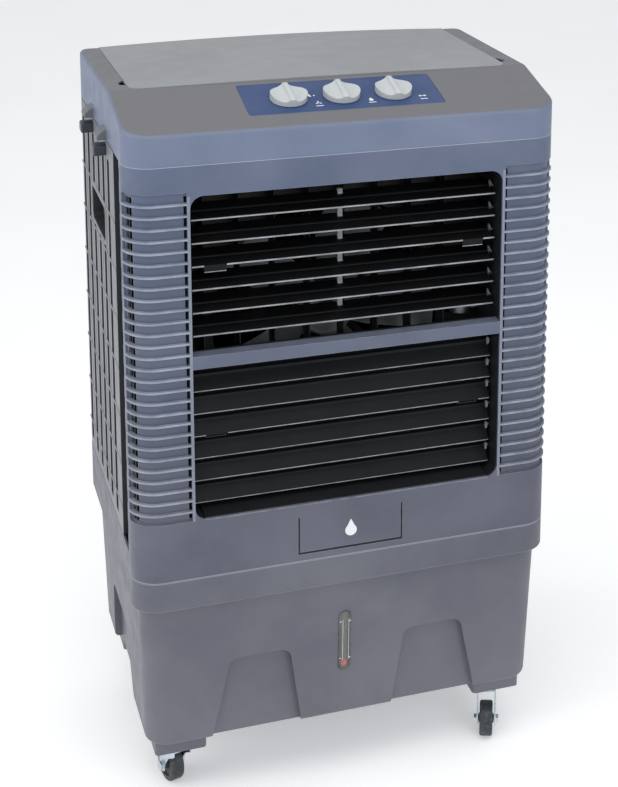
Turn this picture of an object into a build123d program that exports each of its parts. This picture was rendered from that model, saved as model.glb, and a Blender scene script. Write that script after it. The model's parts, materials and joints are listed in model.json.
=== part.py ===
from build123d import *
import math
import os

# Evaporative air cooler on four casters: water tank below, housing with louvres, fan and wet pads
# above it, and a top cover with a lid and a sloping control panel. Millimetres.
# Frame: +X is left to right as seen from the front, -Y is the front, +Z is up, floor at Z = 0.

# ---------------------------------------------------------------- driving dimensions
WIDTH, DEPTH = 610.0, 434.0              # plan size of the casing
FRONT, BACK = -DEPTH / 2, DEPTH / 2      # front and rear planes, before the centring shift
Y_SHIFT = -4.75                          # centres the overall depth, power cord included
FRONT_R, REAR_R = 39.0, 12.0             # vertical corner radii of the casing
WALL = 3.0                               # moulded wall

Z_FOOT = 79.0                            # underside of the caster feet
Z_TANK = 101.0                           # underside of the tank
Z_RIM = 322.0                            # underside of the tank rim
Z_SEAM = 366.0                           # rim to housing seam
Z_SILL = 395.0                           # top of the low band at the sides and rear
Z_COVER = 959.0                          # housing to top cover seam
Z_NOSE = 1003.0                          # front top edge of the cover
Z_LID_FRONT, Z_LID_REAR = 1034.0, 1030.0

PIVOT_R = 2.0                            # louvre, vane and crank pivots
LINK_PIN_R = 1.5                         # link pins of the louvres and vanes
SNUG, LOOSE = 0.05, 0.06                 # radial clearances of holes over their pins

SIDES = (-1, 1)                          # left, right
RIGHT, REAR, UP = (1, 0, 0), (0, 1, 0), (0, 0, 1)

parts = {}


# ---------------------------------------------------------------- helpers
def depth(distance):
    """Y of a place this far behind the front plane."""
    return FRONT + distance


def block(x0, x1, y0, y1, z0, z1):
    """Box between opposite corners; each pair may come in either order."""
    centre = Pos((x0 + x1) / 2, (y0 + y1) / 2, (z0 + z1) / 2)
    return centre * Box(abs(x1 - x0), abs(y1 - y0), abs(z1 - z0))


def rounded(width, length, radius, z0, z1, x=0.0, y=0.0):
    """Upright block with rounded vertical edges."""
    return Pos(x, y, z0) * extrude(RectangleRounded(width, length, radius), z1 - z0)


def wrap(inset, z0, z1):
    """Block on the casing size pulled in by inset, front radius at all corners."""
    return rounded(WIDTH - 2 * inset, DEPTH - 2 * inset, FRONT_R - inset, z0, z1)


def casing_plan(width, length, front_r, rear_r):
    front = RectangleRounded(width, length, front_r)
    return front + Pos(0, length / 4) * RectangleRounded(width, length / 2, rear_r)


def casing(inset, z0, z1):
    """Upright block on the casing outline pulled in by inset."""
    plan = casing_plan(WIDTH - 2 * inset, DEPTH - 2 * inset, FRONT_R - inset, REAR_R - inset)
    return Pos(0, 0, z0) * extrude(plan, z1 - z0)


def disc(radius, height):
    """Cylinder standing on Z = 0."""
    return Cylinder(radius, height, align=(Align.CENTER, Align.CENTER, Align.MIN))


def rod(start, direction, radius, length):
    return Plane(origin=start, z_dir=direction) * disc(radius, length)


def prism_x(points, x0, x1):
    face = make_face(Plane.YZ.offset(x0) * Polyline(*points, close=True))
    return extrude(face, x1 - x0, dir=(1, 0, 0))


def prism_y(points, y0, y1):
    face = make_face(Plane.XZ.offset(-y1) * Polyline(*points, close=True))
    return extrude(face, y1 - y0, dir=(0, -1, 0))


def prism_z(points, z0, z1):
    face = make_face(Plane.XY.offset(z0) * Polyline(*points, close=True))
    return extrude(face, z1 - z0, dir=(0, 0, 1))


def extrude_y(sketch, y0, y1):
    """A sketch drawn in X, Z and extruded from y0 to y1."""
    return extrude(Plane.XZ.offset(-y1) * sketch, y1 - y0, dir=(0, -1, 0))


def extrude_x(sketch, x0, x1):
    """A sketch drawn in Y, Z and extruded from x0 to x1."""
    return extrude(Plane.YZ.offset(x0) * sketch, x1 - x0, dir=(1, 0, 0))


def soften(part, edges, radii):
    """Round the edges with the first radius that works, else return the part unrounded."""
    for radius in radii:
        # guards against the kernel refusing a radius that is too large for the edges
        try:
            out = fillet(edges, radius)
            if out.is_valid and out.volume > 0:
                return out
        except Exception:
            pass
    return part


def group(*items):
    """Compound that keeps the solids of its items separate."""
    return Compound(children=[solid for item in items for solid in item.solids()])


# ---------------------------------------------------------------- caster places
CASTER_X, CASTER_INSET = 239.0, 72.0
CASTERS = {                              # name: (x, y, heading of the trail in degrees)
    "front_left": (-CASTER_X, FRONT + CASTER_INSET, 15.0),
    "front_right": (CASTER_X, FRONT + CASTER_INSET, 159.0),
    "rear_left": (-CASTER_X, BACK - CASTER_INSET, -100.0),
    "rear_right": (CASTER_X, BACK - CASTER_INSET, -14.0),
}
STEM_R = 5.5

# ---------------------------------------------------------------- water tank
TANK_TOP_W, TANK_TOP_D = 590.0, 414.0
TANK_LOW_W, TANK_LOW_D = 578.0, 392.0
TANK_R = 34.0                            # front corner radius
TANK_WALL = 4.0
LOW_INSET = 3.8                          # cavity inset at the floor
TANK_FLOOR = Z_TANK + TANK_WALL
TANK_FRONT, TANK_LEFT = -TANK_TOP_D / 2, -TANK_TOP_W / 2      # faces at the rim
FRONT_DEG = math.degrees(math.atan((TANK_TOP_D - TANK_LOW_D) / 2 / (Z_RIM - Z_TANK)))
SIDE_DEG = math.degrees(math.atan((TANK_TOP_W - TANK_LOW_W) / 2 / (Z_RIM - Z_TANK)))
CASTER_FOOT_X, CASTER_FOOT_W = 240.25, 73.5

GAUGE_X, GAUGE_Z = -5, 222
GAUGE_LENGTH, GAUGE_W = 98.2, 18.8
GAUGE_BORE_Y = TANK_FRONT + 4.2

INLET_X, INLET_Z, INLET_R = -129, 205, 6.0
DRAIN_R = 9.0


def front_draft(item):
    """Lean a piece drawn upright so that it follows the tank's front face."""
    hinge = Pos(0, TANK_FRONT, Z_RIM) * Rot(FRONT_DEG, 0, 0)
    return hinge * Pos(0, -TANK_FRONT, -Z_RIM) * item


def side_draft(item):
    """Lean a piece drawn upright so that it follows the tank's left face."""
    hinge = Pos(TANK_LEFT, 0, Z_RIM) * Rot(0, -SIDE_DEG, 0)
    return hinge * Pos(-TANK_LEFT, 0, -Z_RIM) * item


def arch(foot0, foot1, crown0, crown1, z0, z1, grow):
    """Trapezoid sketch, foot0..foot1 at z0 and crown0..crown1 at z1, extended below z0."""
    extra, crown_r = 14, 16
    lean0 = (crown0 - foot0) / (z1 - z0)
    lean1 = (foot1 - crown1) / (z1 - z0)
    low0 = (foot0 - lean0 * extra, z0 - extra)
    low1 = (foot1 + lean1 * extra, z0 - extra)
    sketch = make_face(Polyline(low0, low1, (crown1, z1), (crown0, z1), close=True))
    sketch = fillet(sketch.vertices().sort_by(Axis.Y)[-2:], crown_r)
    if grow:
        sketch = offset(sketch, amount=grow)
    return sketch


def tank_cavity_rim():
    return casing_plan(TANK_TOP_W - 2 * TANK_WALL, TANK_TOP_D - 2 * TANK_WALL,
                       TANK_R - TANK_WALL, REAR_R - TANK_WALL)


def water_tank():
    low = casing_plan(TANK_LOW_W, TANK_LOW_D, TANK_R, REAR_R)
    top = casing_plan(TANK_TOP_W, TANK_TOP_D, TANK_R, REAR_R)
    body = loft(Sketch() + [Pos(0, 0, Z_TANK) * low, Pos(0, 0, Z_RIM) * top])
    body = soften(body, body.edges().group_by(Axis.Z)[0], (8, 5))
    low = casing_plan(TANK_LOW_W - 2 * LOW_INSET, TANK_LOW_D - 2 * LOW_INSET,
                      TANK_R - TANK_WALL, REAR_R - TANK_WALL)
    inner = loft(Sketch() + [Pos(0, 0, TANK_FLOOR) * low, Pos(0, 0, Z_RIM) * tank_cavity_rim()])

    # arched recesses, two each at front and rear and one per side; the fills keep wall behind them
    cuts, fills = [], []
    for side in (1, -1):
        for grow, bag, inward in ((0, cuts, 11.0), (4, fills, 15.0)):
            sketch = arch(68, 198, 86, 172, 103, 225, grow)
            recess = front_draft(extrude_y(sketch, FRONT - 30, TANK_FRONT + inward))
            if side < 0:
                recess = mirror(recess, about=Plane.YZ)
            bag.append(recess)
            bag.append(mirror(recess, about=Plane.XZ))
            sketch = arch(depth(150), depth(335), depth(190), depth(314), 103, 207, grow)
            recess = side_draft(extrude_x(sketch, -340, TANK_LEFT + inward))
            if side > 0:
                recess = mirror(recess, about=Plane.YZ)
            bag.append(recess)
    # slot for the sight gauge
    slot = Pos(GAUGE_X, GAUGE_Z) * SlotOverall(GAUGE_LENGTH + 0.4, GAUGE_W + 0.4, rotation=90)
    cuts.append(front_draft(extrude_y(slot, FRONT - 10, TANK_FRONT + 11.0)))
    pocket = offset(slot, amount=3.5)
    fills.append(front_draft(extrude_y(pocket, FRONT - 10, TANK_FRONT + 14.5)))
    shell = body - cuts
    cavity = inner - fills

    # rim: a wider band that carries the housing
    rim = casing(0, Z_RIM, Z_SEAM)
    rim = soften(rim, rim.edges().group_by(Axis.Z)[0], (2.5, 1.5))
    rim = soften(rim, rim.edges().group_by(Axis.Z)[-1], (1.3, 1.0))
    rim -= casing(WALL, Z_RIM + 4, Z_SEAM + 1)
    rim -= Pos(0, 0, Z_RIM - 1) * extrude(tank_cavity_rim(), 6)
    shell = shell + rim
    shell -= cavity

    # feet that hold the casters, each with a stem bore
    for x, y, heading in CASTERS.values():
        foot_x = math.copysign(CASTER_FOOT_X, x)
        shell += rounded(CASTER_FOOT_W, 70, 6, Z_FOOT, Z_TANK + 3, foot_x, y)
        shell -= rod((x, y, Z_FOOT - 1), UP, STEM_R + LOOSE, 20)
    # water inlet and drain holes
    shell -= rod((INLET_X, BACK - 45, INLET_Z), REAR, INLET_R, 40)
    shell -= rod((0, 0, Z_TANK - 1), UP, DRAIN_R, 6)
    return shell


def sight_gauge():
    slot = Pos(GAUGE_X, GAUGE_Z) * SlotOverall(GAUGE_LENGTH, GAUGE_W, rotation=90)
    tube = extrude_y(slot, TANK_FRONT - 2.5, TANK_FRONT + 10.9)
    tube = soften(tube, tube.edges().group_by(Axis.Y)[0], (1.2, 0.8))
    tube -= rod((GAUGE_X, GAUGE_BORE_Y, 178), UP, 5.4, 88)
    return front_draft(tube)


def inlet_valve():
    """Flanged inlet pipe in the rear wall, and the float valve in front of it."""
    inlet = rod((INLET_X, BACK - 33.5, INLET_Z), REAR, INLET_R - SNUG, 9)
    inlet += rod((INLET_X, BACK - 26.1, INLET_Z), REAR, 11.0, 3.6)
    inlet += rod((INLET_X, BACK - 23.0, INLET_Z), REAR, 7.5, 24)
    inlet -= rod((INLET_X, BACK - 40, INLET_Z), REAR, 4.5, 60)
    arm_y = BACK - 56
    valve = rod((INLET_X, BACK - 62, INLET_Z), REAR, 10.0, 28.4)
    valve += rod((INLET_X, arm_y, INLET_Z), (0, -0.9, 0.3), 2.5, 90)
    valve += Pos(INLET_X, arm_y - 85.5, INLET_Z + 28.5) * Sphere(24)
    return group(inlet, valve)


def drain_plug():
    plug = rod((0, 0, Z_TANK - 5), UP, 13.0, 5)
    plug += rod((0, 0, Z_TANK), UP, DRAIN_R - LOOSE, 9)
    plug += rod((0, 0, Z_TANK + 4), UP, 11.0, 5)
    plug -= rounded(16, 3, 1, Z_TANK - 6, Z_TANK - 3)      # coin slot
    return plug


parts["water_tank"] = water_tank()
parts["sight_gauge"] = sight_gauge()
parts["gauge_float"] = front_draft(Pos(GAUGE_X, GAUGE_BORE_Y, 184.0) * Sphere(5.3))
parts["inlet_valve"] = inlet_valve()
parts["drain_plug"] = drain_plug()

# ---------------------------------------------------------------- pump
PUMP_X, PUMP_Y, PUMP_R = 150, 60, 38.0
HOSE_X = 205                             # outlet spout and riser hose


def water_pump():
    pump = rod((PUMP_X, PUMP_Y, TANK_FLOOR), UP, PUMP_R, 62)
    pump = soften(pump, pump.edges().group_by(Axis.Z)[-1], (6, 3))
    pump += rod((PUMP_X, PUMP_Y, 160), UP, 22.0, 40)
    pump += block(180, 214, PUMP_Y - 10, PUMP_Y + 10, TANK_FLOOR, Z_TANK + 30)
    pump += rod((HOSE_X, PUMP_Y, Z_TANK + 20), UP, 9.0, 40)
    # eight slots around the body
    for k in range(8):
        angle = 45 * k + 22.5
        x = PUMP_X + PUMP_R * math.cos(math.radians(angle))
        y = PUMP_Y + PUMP_R * math.sin(math.radians(angle))
        pump -= Pos(x, y, Z_TANK + 20) * Rot(0, 0, angle) * Box(10, 5, 24)
    return pump


parts["water_pump"] = water_pump()

# ---------------------------------------------------------------- front housing
WINDOW_X, WINDOW_Z0, WINDOW_Z1 = 220.5, 452.0, 916.0     # air outlet: half width, bottom, top
BAR_Z0, BAR_Z1 = 673.0, 691.0                            # bar across the window
DUCT_END = 112.0                                         # depth of the outlet duct

FIN_PANEL_Z0, FIN_PANEL_Z1 = 453.0, 922.0                # finned corner zones beside the window
FIN_Z0, FIN_PITCH, FIN_COUNT, FIN_T = 466.8, 16.25, 28, 2.4

LOUVRE_Y = depth(42.0)                                   # louvre pivot line
UPPER_Z = [882.0 - 32.8 * i for i in range(6)]
LOWER_Z = [648.0 - 32.88 * i for i in range(6)]

VANE_DEPTH = 92.0
VANE_Y = depth(VANE_DEPTH)
VANE_X = [-190.0 + 50.0 * i for i in range(8)]
VANE_Z0, VANE_Z1 = 460, 909

CORD_X, CORD_Z, CORD_HOLE_R = 235, 381, 6.0


def front_housing():
    """Front, corner columns and low band at the sides and rear."""
    outer = casing(0, Z_SEAM, Z_COVER)
    ends = outer.edges().group_by(Axis.Z)
    outer = soften(outer, ends[0] + ends[-1], (1.3, 1.0))
    shell = outer - casing(WALL, Z_SEAM - 1, Z_COVER + 1)
    # sides and rear are open above the band
    shell -= block(-400, 400, depth(50), BACK + 5, Z_SILL, Z_COVER + 5)
    # thicker fin zones at both corners
    thick = outer - wrap(7, Z_SEAM - 1, Z_COVER + 1)
    for side in SIDES:
        shell += thick & block(side * 222.0, side * 306.0, FRONT - 1, depth(50),
                               FIN_PANEL_Z0 - 3, FIN_PANEL_Z1 + 3)

    # air outlet and its duct
    centre = Pos(0, (WINDOW_Z0 + WINDOW_Z1) / 2)
    height = WINDOW_Z1 - WINDOW_Z0
    window = centre * RectangleRounded(2 * WINDOW_X, height, 18)
    duct_outline = centre * RectangleRounded(2 * (WINDOW_X + WALL), height + 2 * WALL, 18 + WALL)
    shell -= extrude_y(window, FRONT - 2, FRONT + 9)
    duct = extrude_y(duct_outline, FRONT + 1.5, depth(DUCT_END))
    duct -= extrude_y(window, FRONT - 2, depth(DUCT_END) + 1)
    shell += duct
    shell += block(-WINDOW_X - 1, WINDOW_X + 1, FRONT, depth(26), BAR_Z0, BAR_Z1)
    duct_floor = [(FRONT + 0.5, 451), (FRONT + 0.5, 453.0), (depth(40), 457.0),
                  (depth(DUCT_END), 457.0), (depth(DUCT_END), 451)]      # (y, z)
    shell += prism_x(duct_floor, -WINDOW_X + 14, WINDOW_X - 14)

    # recessed fin panels, the slots between the fins, then the fins
    skin = wrap(-1, FIN_PANEL_Z0, FIN_PANEL_Z1)
    band = skin - wrap(4, FIN_PANEL_Z0 - 1, FIN_PANEL_Z1 + 1)
    fins = skin - wrap(4.5, FIN_PANEL_Z0 - 1, FIN_PANEL_Z1 + 1)
    for side in SIDES:
        shell -= band & block(side * 224.5, side * 307.0, FRONT - 2, depth(34),
                              FIN_PANEL_Z0, FIN_PANEL_Z1)
    slabs, slots = [], []
    for i in range(FIN_COUNT):
        z = FIN_Z0 + FIN_PITCH * i
        for side in SIDES:
            slabs.append(block(side * 224.0, side * 307.0, FRONT - 2, depth(35),
                               z - FIN_T / 2, z + FIN_T / 2))
    for i in range(FIN_COUNT + 1):
        z = FIN_Z0 + FIN_PITCH * (i - 0.5)
        high = FIN_PITCH - FIN_T if 0 < i < FIN_COUNT else 9.0
        if i == 0:
            z += 1.6
        if i == FIN_COUNT:
            z -= 1.6
        z0, z1 = z - high / 2, z + high / 2
        for side in SIDES:
            slots.append(block(side * 284.0, side * 307.0, depth(18), depth(33), z0, z1))
            slots.append(block(side * 224.5, side * 228.5, FRONT - 2, depth(10), z0, z1))
    shell -= slots
    shell += fins & Compound(children=slabs)

    # notches down the rear edge of the columns
    notches = []
    for i in range(12):
        z = 425 + 46 * i
        for side in SIDES:
            notches.append(block(side * 294.0, side * 307.0, depth(47.5), depth(51), z, z + 18))
    shell -= notches
    # blank name plate inside a shadow groove
    plate = block(-74, 74, FRONT - 2, FRONT + 3, 380.2, 434.5)
    shell -= block(-76.5, 76.5, FRONT - 1, FRONT + 2.2, 377, 434) - plate

    # cord hole and the bores for the louvre and vane pivots
    bore_r = PIVOT_R + SNUG
    holes = [rod((CORD_X, BACK - 5, CORD_Z), REAR, CORD_HOLE_R, 10)]
    for z in UPPER_Z + LOWER_Z:
        for side in SIDES:
            holes.append(rod((side * 218, LOUVRE_Y, z), (side, 0, 0), bore_r, 8))
    for x in VANE_X:
        holes.append(rod((x, VANE_Y, 446), UP, bore_r, 14))
        holes.append(rod((x, VANE_Y, 912), UP, bore_r, 10))
    shell -= holes
    return shell


parts["front_housing"] = front_housing()

# ---------------------------------------------------------------- louvres
LOUVRE_X = 216.5                         # half length of a blade
LOUVRE_PIN = 20.0                        # link pin distance behind the pivot
BLADE_SECTION = [                        # (y, z) about the pivot
    (-24, -1.0), (-20, -1.1), (0, -1.5), (20, -1.1), (24, -0.7),
    (24, 0.7), (20, 1.1), (0, 1.5), (-20, 1.1), (-24, 1.0),
]


def louvre(z, tilt, tabs):
    """One blade, its front edge tilted down by tilt degrees."""
    blade = prism_x(BLADE_SECTION, -LOUVRE_X, LOUVRE_X)
    blade += rod((-LOUVRE_X, 0, 0), RIGHT, 3.4, 2 * LOUVRE_X)
    for side in SIDES:
        blade += rod((side * LOUVRE_X, 0, 0), (side, 0, 0), PIVOT_R, 6.5)
        blade += rod((side * (LOUVRE_X - 2.0), 0, 0), (side, 0, 0), 9.0, 2.0)
    blade -= block(-4.5, 4.5, LOUVRE_PIN - 9.0, 30, -5, 5)      # notch that the link runs in
    blade += rod((-4.6, LOUVRE_PIN, 0), RIGHT, LINK_PIN_R, 9.2)
    if tabs:
        for x in (-184.0, 184.0):
            blade += block(x - 15, x + 15, -24.0, -21.8, -10, 0.5)
    return Pos(0, LOUVRE_Y, z) * Rot(tilt, 0, 0) * blade


def louvre_link(levels, tilt):
    """The upright bar that joins a bank of blades at its link pins."""
    angle = math.radians(tilt)
    y = LOUVRE_Y + LOUVRE_PIN * math.cos(angle)
    rise = LOUVRE_PIN * math.sin(angle)
    bar = block(-3.6, 3.6, y - 2.6, y + 2.6, levels[-1] + rise - 5, levels[0] + rise + 5)
    for z in levels:
        bar -= rod((-5, y, z + rise), RIGHT, LINK_PIN_R + SNUG, 10)
    return bar


for bank, levels, tilt in (("upper", UPPER_Z, 12.0), ("lower", LOWER_Z, 52.0)):
    for i, z in enumerate(levels):
        parts["%s_louver_%d" % (bank, i + 1)] = louvre(z, tilt, tabs=i == 2)
    parts[bank + "_louver_link"] = louvre_link(levels, tilt)

# ---------------------------------------------------------------- swing vanes behind the louvres
VANE_PIN = 14.0                          # link pin distance behind the vane pivot
VANE_LINK_Y, VANE_LINK_Z = depth(VANE_DEPTH + VANE_PIN), 700.0
CRANK_X = 196.0                          # swing motor and crank axis
VANE_SECTION = [(-0.7, -18), (0.7, -18), (1.3, 0), (0.7, 18), (-0.7, 18), (-1.3, 0)]  # (x, y)


def swing_vane(x):
    vane = prism_z(VANE_SECTION, VANE_Z0, VANE_Z1)
    vane += rod((0, 0, VANE_Z0), UP, 2.6, VANE_Z1 - VANE_Z0)
    vane += rod((0, 0, VANE_Z0 - 8), UP, PIVOT_R, 8)
    vane += rod((0, 0, VANE_Z1), UP, PIVOT_R, 9)
    vane -= block(-5, 5, VANE_PIN - 7.0, 20, VANE_LINK_Z - 4, VANE_LINK_Z + 4)
    vane += rod((0, VANE_PIN, VANE_LINK_Z - 4.2), UP, LINK_PIN_R, 8.4)
    return Pos(x, VANE_Y, 0) * vane


def vane_link():
    """Level bar over the vane pins, with a slotted end for the crank pin."""
    z0, z1 = VANE_LINK_Z - 1.6, VANE_LINK_Z + 1.6
    bar = block(VANE_X[0] - 6, CRANK_X + 16, VANE_LINK_Y - 2.4, VANE_LINK_Y + 2.4, z0, z1)
    bar += rounded(22, 14, 3, z0, z1, CRANK_X, VANE_LINK_Y)
    for x in VANE_X:
        bar -= rod((x, VANE_LINK_Y, VANE_LINK_Z - 3), UP, LINK_PIN_R + SNUG, 6)
    bar -= rounded(5, 10, 2.4, VANE_LINK_Z - 3, VANE_LINK_Z + 3, CRANK_X, VANE_LINK_Y)
    return bar


def swing_motor():
    motor = rod((CRANK_X, VANE_LINK_Y, 674), UP, 17.0, 15)
    motor = soften(motor, motor.edges().group_by(Axis.Z)[-1], (1.5, 1.0))
    motor += block(CRANK_X + 10, WINDOW_X, VANE_LINK_Y - 4, VANE_LINK_Y + 4, 676, 680)
    motor -= rod((CRANK_X, VANE_LINK_Y, 680), UP, PIVOT_R + SNUG, 12)
    return motor


def swing_crank():
    crank = rod((CRANK_X, VANE_LINK_Y, 690.0), UP, 12.0, 3.0)
    crank += rod((CRANK_X, VANE_LINK_Y, 681.0), UP, PIVOT_R, 10.0)
    crank += rod((CRANK_X - 8, VANE_LINK_Y, 692.5), UP, PIVOT_R, 5.3)
    return crank


for i, x in enumerate(VANE_X):
    parts["swing_vane_%d" % (i + 1)] = swing_vane(x)
parts["vane_link"] = vane_link()
parts["swing_motor"] = swing_motor()
parts["swing_crank"] = swing_crank()

# ---------------------------------------------------------------- fan, shroud and motor
FAN_Z, FAN_R, RING_R = 690.0, 166.0, 172.0
MOUNT_Y0, MOUNT_Y1 = depth(184), depth(190)      # spider that carries the motor
SHAFT_R = 6.0
BLADE_STATIONS = [                               # (radius, chord, pitch in degrees)
    (34.0, 58.0, 42.0),
    (100.0, 88.0, 32.0),
    (176.0, 112.0, 24.0),
]


def fan_shroud():
    shroud = block(-228, 228, depth(DUCT_END), depth(DUCT_END + 3), 446, 922)
    shroud -= rod((0, depth(DUCT_END - 1), FAN_Z), REAR, RING_R, 10)
    ring = rod((0, depth(DUCT_END), FAN_Z), REAR, RING_R + 4, 78)
    ring -= rod((0, depth(DUCT_END - 1), FAN_Z), REAR, RING_R, 90)
    shroud += ring
    # room for the swing drive
    shroud -= block(170, 222, depth(DUCT_END - 1), depth(DUCT_END + 4), 668, 706)
    spider = rod((0, MOUNT_Y0, FAN_Z), REAR, 62, 6)
    for k in range(4):
        arm = block(58, RING_R + 1, MOUNT_Y0, MOUNT_Y1, -6, 6)
        spider += Pos(0, 0, FAN_Z) * Rot(0, 45 + 90 * k, 0) * arm
    spider -= rod((0, MOUNT_Y0 - 1, FAN_Z), REAR, 12, 10)
    return shroud + spider


def fan_motor():
    motor = rod((0, MOUNT_Y1, FAN_Z), REAR, 56, 84)
    motor = soften(motor, motor.edges().group_by(Axis.Y)[-1], (10, 6))
    for k in range(16):
        groove = block(54.5, 60, depth(204), depth(250), -2.2, 2.2)
        motor -= Pos(0, 0, FAN_Z) * Rot(0, 22.5 * k, 0) * groove
    motor += rod((0, depth(124), FAN_Z), REAR, SHAFT_R, 70)
    return motor


def fan_rotor():
    y = depth(148)
    rotor = rod((0, y - 22, 0), REAR, 42, 44)
    rotor = soften(rotor, rotor.edges().group_by(Axis.Y)[0], (8, 5))
    for k in range(5):
        sections = []
        for radius, chord, pitch in BLADE_STATIONS:
            angle = math.radians(pitch)
            plane = Plane(origin=(radius, y, 0), x_dir=(0, math.sin(angle), math.cos(angle)),
                          z_dir=(1, 0, 0))
            sections.append(plane * Ellipse(chord / 2, 1.7))
        blade = loft(Sketch() + sections)
        blade = blade & rod((0, y - 60, 0), REAR, FAN_R, 120)
        rotor += Rot(0, 72 * k, 0) * blade
    rotor -= rod((0, y - 40, 0), REAR, SHAFT_R + SNUG, 80)
    rotor += rod((0, y - 30, 0), REAR, 14, 5.5)
    return Pos(0, 0, FAN_Z) * rotor


parts["fan_shroud"] = fan_shroud()
parts["fan_motor"] = fan_motor()
parts["fan_rotor"] = fan_rotor()

# ---------------------------------------------------------------- rear frame, pads, distributor
FRAME_Z0, FRAME_Z1 = Z_RIM + 4, Z_COVER - 4
BEAM_Z0 = FRAME_Z1 - 18                  # underside of the top beams
SHELF_Z0, SHELF_Z1 = 388, 397            # shelf under the pads
PAD_Z0, PAD_Z1 = 399, 914
FRAME_SIDE = [                           # (|x| from, to, depth from, to, z from, to), each side
    (266.0, 291.0, 56, 92, FRAME_Z0, FRAME_Z1),
    (250.0, 287.0, 397, 417, FRAME_Z0, FRAME_Z1),
    (262.0, 287.0, 56, 417, BEAM_Z0, FRAME_Z1),
    (240.0, 287.0, 56, 417, SHELF_Z0, SHELF_Z1),
]


def rear_frame():
    frame = Part()
    for side in SIDES:
        for x0, x1, near, far, z0, z1 in FRAME_SIDE:
            frame += block(side * x0, side * x1, depth(near), depth(far), z0, z1)
    frame += block(-287, 287, depth(397), depth(417), BEAM_Z0, FRAME_Z1)
    frame += block(-287, 287, depth(368), depth(417), SHELF_Z0, SHELF_Z1)
    frame += block(-262, 262, depth(118), depth(128), BEAM_Z0, FRAME_Z1)
    # stiffening flutes on the exposed post faces
    for side in SIDES:
        for i in range(12):
            z = 420 + 44 * i
            frame -= block(side * 288.0, side * 292.0, depth(64), depth(84), z, z + 30)
    return frame


def trough_block(inset, z0, z1):
    """U-shaped channel block over the pads, its walls pulled in by inset."""
    near, far = depth(96 + inset), depth(394 - inset)
    block_u = block(-288 + inset, -244 - inset, near, far, z0, z1)
    block_u += block(244 + inset, 288 - inset, near, far, z0, z1)
    return block_u + block(-246 - inset, 246 + inset, depth(370 + inset), far, z0, z1)


def water_distributor():
    """Trough over the pads and its riser hose."""
    trough = trough_block(0, 916, 932)
    trough -= trough_block(3, 919, 933)
    bend_z = 924
    hose = rod((HOSE_X, PUMP_Y, 161.1), UP, 8.0, bend_z - 161.1)
    hose += rod((HOSE_X, PUMP_Y, bend_z), REAR, 8.0, depth(369.8) - PUMP_Y)
    hose += Pos(HOSE_X, PUMP_Y, bend_z) * Sphere(8.0)
    return group(trough, hose)


parts["rear_frame"] = rear_frame()
parts["cooling_pads"] = group(
    block(-286, -246, depth(98), depth(392), PAD_Z0, PAD_Z1),
    block(246, 286, depth(98), depth(392), PAD_Z0, PAD_Z1),
    block(-240, 240, depth(372), depth(412), PAD_Z0, PAD_Z1),
)
parts["water_distributor"] = water_distributor()

# ---------------------------------------------------------------- top cover
LID_DEPTH, LID_X, LID_R = 135.0, 275.0, 17       # front edge depth, half width, corner radius
LID_T, LID_GAP = 3.6, 0.7
HINGE_Y, HINGE_Z, HINGE_PIN_R = BACK - 9.0, 1022.0, 3.0
LATCH_DEPTHS = {"front": 172, "rear": 300}
LATCH_Z, LATCH_PIN_R = 943, 4.0

NOSE_DEPTH = 6.0                                 # where the control slope begins
SLOPE = math.atan((Z_LID_FRONT - Z_NOSE) / (LID_DEPTH - NOSE_DEPTH))
PANEL_X, PANEL_DEPTH = 8.0, 81.0                 # panel centre
PANEL_LENGTH, PANEL_W = 278.0, 90.5
PANEL_PLANE = Plane(
    origin=(PANEL_X, depth(PANEL_DEPTH), Z_NOSE + (PANEL_DEPTH - NOSE_DEPTH) * math.tan(SLOPE)),
    x_dir=(1, 0, 0),
    z_dir=Vector(0, -math.sin(SLOPE), math.cos(SLOPE)),
)
KNOBS = {"fan_knob": -68.0, "pump_knob": 7.0, "swing_knob": 82.0}      # name: x
KNOB_SHAFT_R = 3.0
SHAFT_HOLE_R = KNOB_SHAFT_R + LOOSE


def knob_seat(x, height):
    """Plane on a knob axis at this height above the control slope."""
    return PANEL_PLANE * Pos(x - PANEL_X, -3.6, height)


def cover_block(inset, z0):
    """Upright block on the cover outline pulled in by inset."""
    plan = RectangleRounded(WIDTH - 2 * inset, DEPTH - 2 * inset, FRONT_R - inset)
    plan += Pos(0, 60) * RectangleRounded(WIDTH - 2 * inset, DEPTH - 120 - 2 * inset, 16 - inset)
    return Pos(0, 0, z0) * extrude(plan, 100)


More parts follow.
